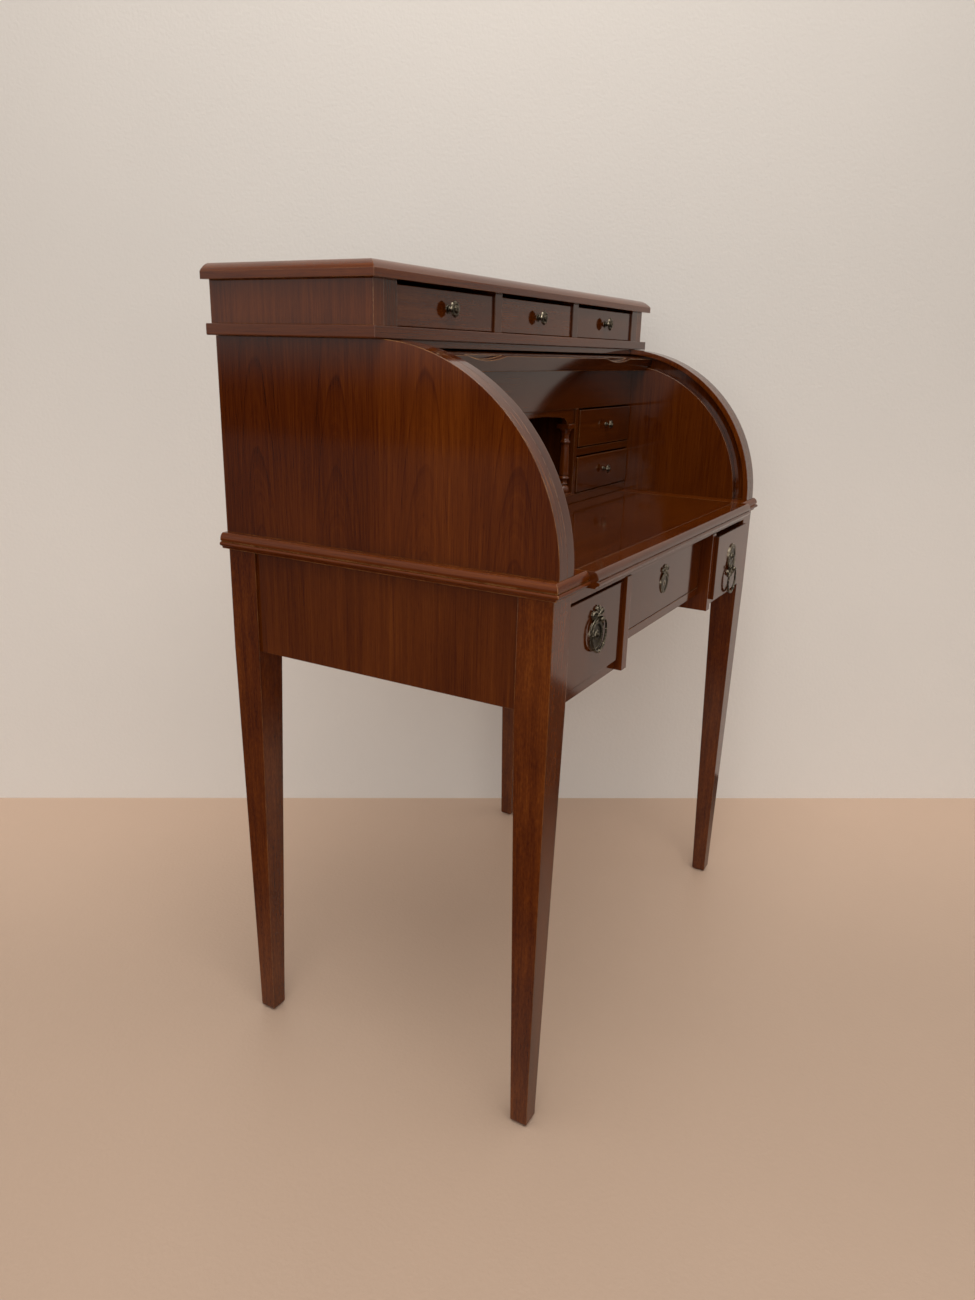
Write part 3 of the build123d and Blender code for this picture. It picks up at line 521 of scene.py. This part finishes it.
def dress_canvas():
    """A plain weave of undyed cotton, glued behind the slats."""
    material, tree = new_material("canvas")
    place = tree.add("TexCoord", out=3)
    vector = around_axis(tree, place)
    threads = tree.scaled(vector, (3600.0, 3600.0, 0.0))
    warp = tree.math("SINE", tree.add("SeparateXYZ", threads))
    weft = tree.math("SINE", tree.add("SeparateXYZ", threads, out=1))
    weave = tree.math("MULTIPLY", warp, weft)
    slub = tree.noise(tree.scaled(vector, (40.0, 700.0, 0.0)), 3.0)
    tone = tree.total(0.5, (weave, 0.18), (slub, 0.7))
    cotton = [(0.0, (0.16, 0.12, 0.08)), (0.6, (0.36, 0.29, 0.20)), (1.0, (0.5, 0.42, 0.31))]
    colour = tree.ramp(tone, cotton)
    bump = tree.add("Bump", named={"Strength": 0.6, "Distance": 0.0003, "Height": weave})
    roughness = tree.math("MULTIPLY_ADD", slub, 0.1, 0.85)
    named = {"Base Color": colour, "Roughness": roughness, "Sheen Weight": 0.2, "Normal": bump}
    finish_material(tree, tree.add("BsdfPrincipled", named=named))
    dress(material, "tambour_canvas")


def brass_material():
    """Antique brass: dark brown patina in the hollows, rubbed bright on the high places."""
    material, tree = new_material("antique_brass")
    place = tree.add("TexCoord", out=3)
    raised = tree.add("NewGeometry", out=7)
    mottle = tree.noise(tree.scaled(place, (260.0, 260.0, 260.0)), 4.0, 0.6)
    high = tree.span(tree.total(raised, (mottle, 0.10)), 0.51, 0.62)
    spots = tree.noise(tree.scaled(place, (900.0, 900.0, 900.0)), 2.0)
    patina = tree.ramp(
        tree.total(0.5, (mottle, 1.2)),
        [(0.2, (0.022, 0.017, 0.011)), (0.55, (0.064, 0.051, 0.034)), (0.9, (0.13, 0.105, 0.07))],
    )
    colour = tree.mix(high, patina, (0.56, 0.49, 0.37, 1.0))
    roughness = tree.total(0.36, (high, -0.14), (spots, 0.25))
    bump = tree.add("Bump", named={"Strength": 0.3, "Distance": 0.0002, "Height": spots})
    named = {"Base Color": colour, "Metallic": 1.0, "Roughness": roughness, "Normal": bump}
    finish_material(tree, tree.add("BsdfPrincipled", named=named))
    return material


# --- Turned and cast pieces ---------------------------------------------------------------------


def skin(mesh, rings, looped=False):
    """A closed skin over rings of points: capped at both ends, or joined end to start."""
    verts = [[mesh.verts.new(p) for p in ring] for ring in rings]
    count = len(rings[0])
    pairs = list(zip(verts, verts[1:]))
    if looped:
        pairs.append((verts[-1], verts[0]))
    for first, second in pairs:
        for i in range(count):
            j = (i + 1) % count
            mesh.faces.new((first[i], first[j], second[j], second[i]))
    if not looped:
        for ring in (verts[0], verts[-1]):
            middle = mesh.verts.new(sum((v.co for v in ring), Vector()) / count)
            for i in range(count):
                mesh.faces.new((ring[i], ring[(i + 1) % count], middle))


def circle(count):
    return [2 * math.pi * i / count for i in range(count)]


def rosette(mesh, place, profile, count=40, petals=0, depth=0.06):
    """A turned form that stands out from a face: profile is (radius, height) pairs.
    place puts (right, up, out) in the frame. A profile's third value says how far the petals swell."""
    rings = []
    for radius, height, *swell in profile:
        ring = []
        for angle in circle(count):
            wave = 1 + (swell[0] if swell else 0) * depth * math.cos(petals * angle)
            reach = radius * wave
            ring.append(place(reach * math.cos(angle), reach * math.sin(angle), height))
        rings.append(ring)
    skin(mesh, rings)


def tube(mesh, points, radii, looped=False, sides=10, flatten=1.0):
    """A bar of changing radius through points. flatten thins it in the direction it stands out."""
    count = len(points)
    rings = []
    for i, point in enumerate(points):
        if looped:
            direction = points[(i + 1) % count] - points[i - 1]
        else:
            direction = points[min(i + 1, count - 1)] - points[max(i - 1, 0)]
        direction.normalize()
        out = Vector((0, -1, 0))
        out = (out - direction * out.dot(direction)).normalized()
        across = direction.cross(out)
        radius = radii[i]
        rings.append(
            [
                point + across * (math.cos(a) * radius) + out * (math.sin(a) * radius * flatten)
                for a in circle(sides)
            ]
        )
    skin(mesh, rings, looped)


def smooth_path(points, steps, looped):
    """Catmull-Rom through points."""
    count = len(points)
    path = []
    spans = count if looped else count - 1
    for i in range(spans):
        if looped:
            p0, p1, p2, p3 = (points[(i + k) % count] for k in (-1, 0, 1, 2))
        else:
            p0, p1, p2, p3 = (points[max(0, min(i + k, count - 1))] for k in (-1, 0, 1, 2))
        for step in range(steps):
            t = step / steps
            path.append(
                0.5
                * (
                    2 * p1
                    + (p2 - p0) * t
                    + (2 * p0 - 5 * p1 + 4 * p2 - p3) * t**2
                    + (3 * p1 - p0 - 3 * p2 + p3) * t**3
                )
            )
    if not looped:
        path.append(points[-1])
    return path


def shifted(place, right, up):
    """The same place function, from a point moved right and up."""
    return lambda across, above, out: place(right + across, up + above, out)


def placed(origin, turn=1.0, size=1.0):
    """Puts (right, up, out) in millimetres into the frame, from a point on a face towards -y."""

    def place(right, up, out):
        return origin + Vector((right * turn, -out, up * turn)) * (size * MM)

    return place


def finish_piece(name, mesh, material, body, nodes, sharp=40.0):
    bmesh.ops.recalc_face_normals(mesh, faces=mesh.faces[:])
    data = bpy.data.meshes.new(name)
    mesh.to_mesh(data)
    mesh.free()
    data.polygons.foreach_set("use_smooth", [True] * len(data.polygons))
    data.set_sharp_from_angle(angle=math.radians(sharp))
    data.materials.append(material)
    piece = bpy.data.objects.new(name, data)
    bpy.context.scene.collection.objects.link(piece)
    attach(piece, body)
    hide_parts(*nodes)
    return piece


KNOB_PROFILE = [
    (0.56, 0.00), (0.56, 0.05), (0.49, 0.09), (0.30, 0.11), (0.27, 0.15), (0.36, 0.19), (0.40, 0.23),
    (0.36, 0.27), (0.24, 0.30), (0.19, 0.36), (0.18, 0.44), (0.24, 0.51), (0.44, 0.54, 0.4),
    (0.74, 0.565, 0.8), (0.95, 0.61, 1.0), (1.00, 0.665, 1.0), (0.97, 0.72, 1.0), (0.86, 0.79, 1.0),
    (0.72, 0.84, 0.8), (0.60, 0.835, 0.4), (0.54, 0.81, 0.0), (0.47, 0.85, -0.8), (0.42, 0.91, -1.0),
    (0.30, 0.965, -0.8), (0.19, 0.97, 0.0), (0.15, 0.955, 0.0), (0.10, 0.99, 0.0), (0.04, 1.0, 0.0),
]


def make_knobs(brass):
    """Flower-headed knobs: a rosette of petals on a thin turned stem."""
    names = [f"gallery_knob_{s}" for s in ("left", "centre", "right")]
    names += [f"interior_knob_{r}_{s}" for r in ("upper", "lower") for s in ("left", "right")]
    for name in names:
        low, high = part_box(name)
        radius = (high.x - low.x) / 2 / MM
        length = (high.y - low.y) / MM
        origin = Vector(((low.x + high.x) / 2, high.y, (low.z + high.z) / 2))
        widest = 1.05
        profile = [(r * radius / widest, h * length, *more) for r, h, *more in KNOB_PROFILE]
        mesh = bmesh.new()
        rosette(mesh, placed(origin), profile, 64, 8, 0.05)
        body = name.replace("knob", "drawer")
        finish_piece(name + "_cast", mesh, brass, body, [name])


PLATE_HALF_WIDTH = 20.5
PLATE_HALF_HEIGHT = 21.5
DISH_PROFILE = [
    (0.02, 1.7), (0.25, 1.6), (0.50, 1.5), (0.60, 1.7), (0.65, 2.4), (0.70, 2.6), (0.75, 2.4),
    (0.79, 1.6), (0.86, 1.5), (0.91, 1.7), (0.94, 2.1), (0.97, 2.2), (1.00, 1.8), (1.00, 0.0), (0.02, 0.0),
]


def keyhole_reach(angle):
    """Distance from a keyhole's middle to its edge: a round above a slot."""
    round_radius = 2.7
    slot_half = 1.3
    slot_end = 7.5
    down = max(-math.sin(angle), 0.0)
    sideways_part = abs(math.cos(angle))
    reach = round_radius
    if down > 0:
        to_end = slot_end / down
        to_side = slot_half / sideways_part if sideways_part > 1e-6 else to_end
        reach = max(round_radius, min(to_end, to_side))
    return reach


def dish(mesh, place, keyhole):
    """The plate's oval: raised rings round a hollow, with a keyhole through it if asked."""
    count = 72
    rings = []
    for share, height in DISH_PROFILE:
        ring = []
        for angle in circle(count):
            outer = Vector((PLATE_HALF_WIDTH * math.cos(angle), PLATE_HALF_HEIGHT * math.sin(angle)))
            hollow = keyhole_reach(angle) if keyhole else 0.2
            inner = Vector((math.cos(angle), math.sin(angle))) * hollow
            point = inner.lerp(outer, share)
            ring.append(place(point.x, point.y, height))
        rings.append(ring)
    skin(mesh, rings, looped=keyhole)


def ribbon(mesh, place, points, radii, looped):
    path = smooth_path([Vector(p) for p in points], 5, looped)
    count = len(path)
    spread = []
    for i in range(count):
        at = i / (count if looped else count - 1) * (len(radii) - 1)
        low = min(int(at), len(radii) - 2)
        spread.append((radii[low] + (radii[low + 1] - radii[low]) * (at - low)))
    world = [place(*p) for p in path]
    scale = (place(1, 0, 0) - place(0, 0, 0)).length
    tube(mesh, world, [r * scale for r in spread], looped, 10, 0.8)


def ornament(mesh, place, keyhole):
    """An oval plate with a beaded edge and a tied bow with a crest above it."""
    top = PLATE_HALF_HEIGHT
    dish(mesh, place, keyhole)
    for angle in circle(44):
        reach = 0.835
        x = PLATE_HALF_WIDTH * reach * math.cos(angle)
        z = PLATE_HALF_HEIGHT * reach * math.sin(angle)
        rosette(mesh, shifted(place, x, z), [(0.5, 0.9), (0.95, 1.6), (0.85, 2.1), (0.35, 2.45)], 8)
    for x, rise, radius in ((0, 2.5, 5.2), (0, 12.0, 4.6), (-10.5, 5.5, 6.0), (10.5, 5.5, 6.0)):
        local = shifted(place, x, top + rise)
        rosette(mesh, local, [(radius, 0.0), (radius, 0.7), (radius - 0.5, 1.2), (0.5, 1.3)], 28)
    for side in (-1, 1):
        loop = [(0.8, top + 2.8, 2.4), (5.0, top + 7.0, 3.2), (10.8, top + 10.0, 3.0)]
        loop += [(15.2, top + 7.6, 2.4), (14.6, top + 3.2, 2.2), (7.5, top + 2.4, 2.6)]
        loop = [(side * x, z, out) for x, z, out in loop]
        ribbon(mesh, place, loop, [1.2, 1.6, 1.9, 1.9, 1.6, 1.2, 1.2], True)
        tail = [(0.5, top + 1.6, 2.4), (8.0, top - 0.6, 2.6), (14.2, top - 4.4, 2.6)]
        tail += [(18.0, top - 9.4, 2.2), (19.2, top - 13.6, 1.8), (18.4, top - 16.0, 1.7)]
        tail += [(17.0, top - 14.6, 2.0)]
        tail = [(side * x, z, out) for x, z, out in tail]
        ribbon(mesh, place, tail, [1.2, 1.5, 1.4, 1.2, 1.0, 0.9, 0.7], False)
        leaf = [(1.2, top + 8.0, 2.0), (4.6, top + 11.6, 2.6), (5.4, top + 15.2, 1.7)]
        leaf = [(side * x, z, out) for x, z, out in leaf]
        ribbon(mesh, place, leaf, [0.8, 1.6, 0.5], False)
    knot = [(2.6, 1.0), (2.9, 2.6), (2.7, 3.9), (1.9, 4.7), (0.6, 5.0)]
    rosette(mesh, shifted(place, 0, top + 3.2), knot, 20)
    crest = [(3.4, 1.0, 1.0), (3.9, 2.0, 1.0), (3.4, 2.9, 1.0), (2.2, 3.2, 0.5)]
    crest += [(1.7, 2.9), (1.3, 3.7), (0.4, 4.1)]
    rosette(mesh, shifted(place, 0, top + 12.2), crest, 40, 5, 0.16)


BOSS_PROFILE = [
    (6.4, 1.2, 0.6), (6.5, 2.0, 1.0), (5.7, 2.9, 1.0), (4.3, 3.2, 0.6), (3.4, 2.9), (3.1, 3.6), (2.7, 4.5),
    (1.6, 5.2), (0.5, 5.4),
]
POST_OFFSET = 21.5
POST_PROFILE = [
    (4.0, 1.4), (4.1, 2.4), (3.4, 3.2), (2.7, 3.8), (2.7, 4.6), (3.3, 5.2), (3.6, 6.2), (3.7, 7.5),
    (3.5, 9.0), (2.8, 10.2), (1.6, 10.9), (0.4, 11.1),
]


def make_pulls(brass):
    for side, upside_down in (("left", False), ("right", True)):
        turn = -1.0 if upside_down else 1.0
        low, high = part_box("pull_plate_" + side)
        middle_z = high.z - PLATE_HALF_HEIGHT * MM if upside_down else low.z + PLATE_HALF_HEIGHT * MM
        origin = Vector(((low.x + high.x) / 2, high.y, middle_z))
        place = placed(origin, turn)
        mesh = bmesh.new()
        ornament(mesh, place, False)
        rosette(mesh, place, BOSS_PROFILE, 48, 8, 0.07)
        rosette(mesh, shifted(place, 0, POST_OFFSET), POST_PROFILE, 28)
        body = "frieze_drawer_" + side
        name = "pull_plate_cast_" + side
        finish_piece(name, mesh, brass, body, ["pull_plate_" + side])

    low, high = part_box("escutcheon")
    scale = (high.x - low.x) / 2 / (PLATE_HALF_WIDTH * MM)
    origin = Vector(((low.x + high.x) / 2, high.y, low.z + PLATE_HALF_HEIGHT * scale * MM))
    mesh = bmesh.new()
    ornament(mesh, placed(origin, size=scale), True)
    finish_piece("escutcheon_cast", mesh, brass, "frieze_drawer_centre", ["escutcheon"])


BAIL_HALF_WIDTH = 20.5
BAIL_DROP = 42.0
BAIL_STRAIGHT = 5.0
BAIL_WIRE = 1.6


def bail_path():
    """The ring's line in (right, up) from its pivot."""
    corner = BAIL_HALF_WIDTH - BAIL_STRAIGHT
    waist = BAIL_DROP - BAIL_HALF_WIDTH
    half = [(0.0, 0.0), (BAIL_STRAIGHT, 0.0)]
    for step in range(1, 10):
        angle = math.radians(90 - 10 * step)
        half.append((BAIL_STRAIGHT + corner * math.cos(angle), corner * (math.sin(angle) - 1)))
    for step in range(1, 7):
        half.append((BAIL_HALF_WIDTH, -corner - (waist - corner) * step / 6))
    for step in range(1, 19):
        angle = math.radians(5 * step)
        half.append((BAIL_HALF_WIDTH * math.cos(angle), -waist - BAIL_HALF_WIDTH * math.sin(angle)))
    left = [(-x, z) for x, z in reversed(half[1:-1])]
    return half + left


def bail_radius(x, z):
    """Thin at the pin, swelling to the bottom, with collars where hand rings have them."""
    share = min(max(-z / BAIL_DROP, 0.0), 1.0)
    radius = 1.35 + 0.75 * share**2
    for collar in (0.42, 0.86):
        radius += 0.55 * math.exp(-(((share - collar) / 0.018) ** 2))
    return radius


def make_bails(brass):
    for side in ("left", "right"):
        low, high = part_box("pull_bail_" + side)
        origin = Vector(((low.x + high.x) / 2, (low.y + high.y) / 2, high.z - BAIL_WIRE * MM))
        path = bail_path()
        smooth = smooth_path([Vector((x, 0, z)) for x, z in path], 3, True)
        points = [origin + p * MM for p in smooth]
        radii = [bail_radius(p.x, p.z) * MM for p in smooth]
        mesh = bmesh.new()
        tube(mesh, points, radii, True, 14)
        knop = [(0.9, -2.7), (2.0, -2.1), (2.6, -0.8), (2.6, 0.8), (2.0, 2.1), (0.9, 2.7)]
        rosette(mesh, shifted(placed(origin), 0, -BAIL_DROP), knop, 20)
        name = "pull_bail_cast_" + side
        finish_piece(name, mesh, brass, "bail_" + side, ["pull_bail_" + side])


COLUMN_PROFILE = [
    (8.6, 4.0), (9.6, 5.0), (10.4, 7.5), (10.5, 10.0), (10.2, 12.8), (9.2, 15.0), (7.6, 16.2), (6.2, 16.8),
    (5.9, 17.6), (6.6, 18.6), (7.6, 19.0), (7.8, 19.8), (7.3, 20.5), (6.6, 21.0), (6.4, 23.0), (6.9, 25.0),
    (7.8, 26.2), (9.6, 27.2), (10.4, 28.4), (10.4, 29.6), (9.6, 30.8), (7.8, 31.8), (7.7, 32.6), (8.7, 33.4),
    (9.1, 34.6), (8.9, 40.0), (8.4, 52.0), (7.8, 66.0), (7.2, 80.0), (7.0, 84.4), (7.4, 85.2), (8.7, 86.0),
    (9.1, 87.2), (9.0, 88.6), (8.3, 89.6), (7.1, 90.2), (6.6, 91.0), (6.5, 94.0), (6.7, 98.0), (7.3, 101.0),
    (8.5, 103.6), (9.9, 105.4), (10.9, 106.8), (11.0, 109.4),
]


def make_columns(material):
    low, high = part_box("interior_columns")
    half = (high.y - low.y) / 2
    mesh = bmesh.new()
    for x in (low.x + half, high.x - half):
        origin = Vector((x, (low.y + high.y) / 2, low.z))
        place = lambda right, back, up, origin=origin: origin + Vector((right, back, up)) * MM
        rosette(mesh, place, COLUMN_PROFILE, 48)
        side = half / MM
        top = (high.z - low.z) / MM
        for bottom, upper in ((0.0, 4.0), (top - 8.0, top)):
            block = []
            for height, shrink in ((bottom, 0.6), (bottom + 0.6, 0.0), (upper - 0.6, 0.0), (upper, 0.6)):
                reach = side - shrink
                corners = []
                for sx, sy in ((-1, -1), (1, -1), (1, 1), (-1, 1)):
                    nip = 0.6
                    first = (sx * reach, sy * (reach - nip))
                    second = (sx * (reach - nip), sy * reach)
                    corners += [first, second] if sx * sy > 0 else [second, first]
                block.append([place(a, b, height) for a, b in corners])
            skin(mesh, block)
    finish_piece("interior_columns_turned", mesh, material, "desk", ["interior_columns"], 35.0)


# --- Everything together ------------------------------------------------------------------------

make_camera()
make_stage()
make_light()
dress_wood()
dress_canvas()
antique_brass = brass_material()
make_knobs(antique_brass)
make_pulls(antique_brass)
make_bails(antique_brass)
make_columns(wood("columns", "zyx", 50.0, 0.1, tone_and_painted_shade=0.9, wear=0.3))
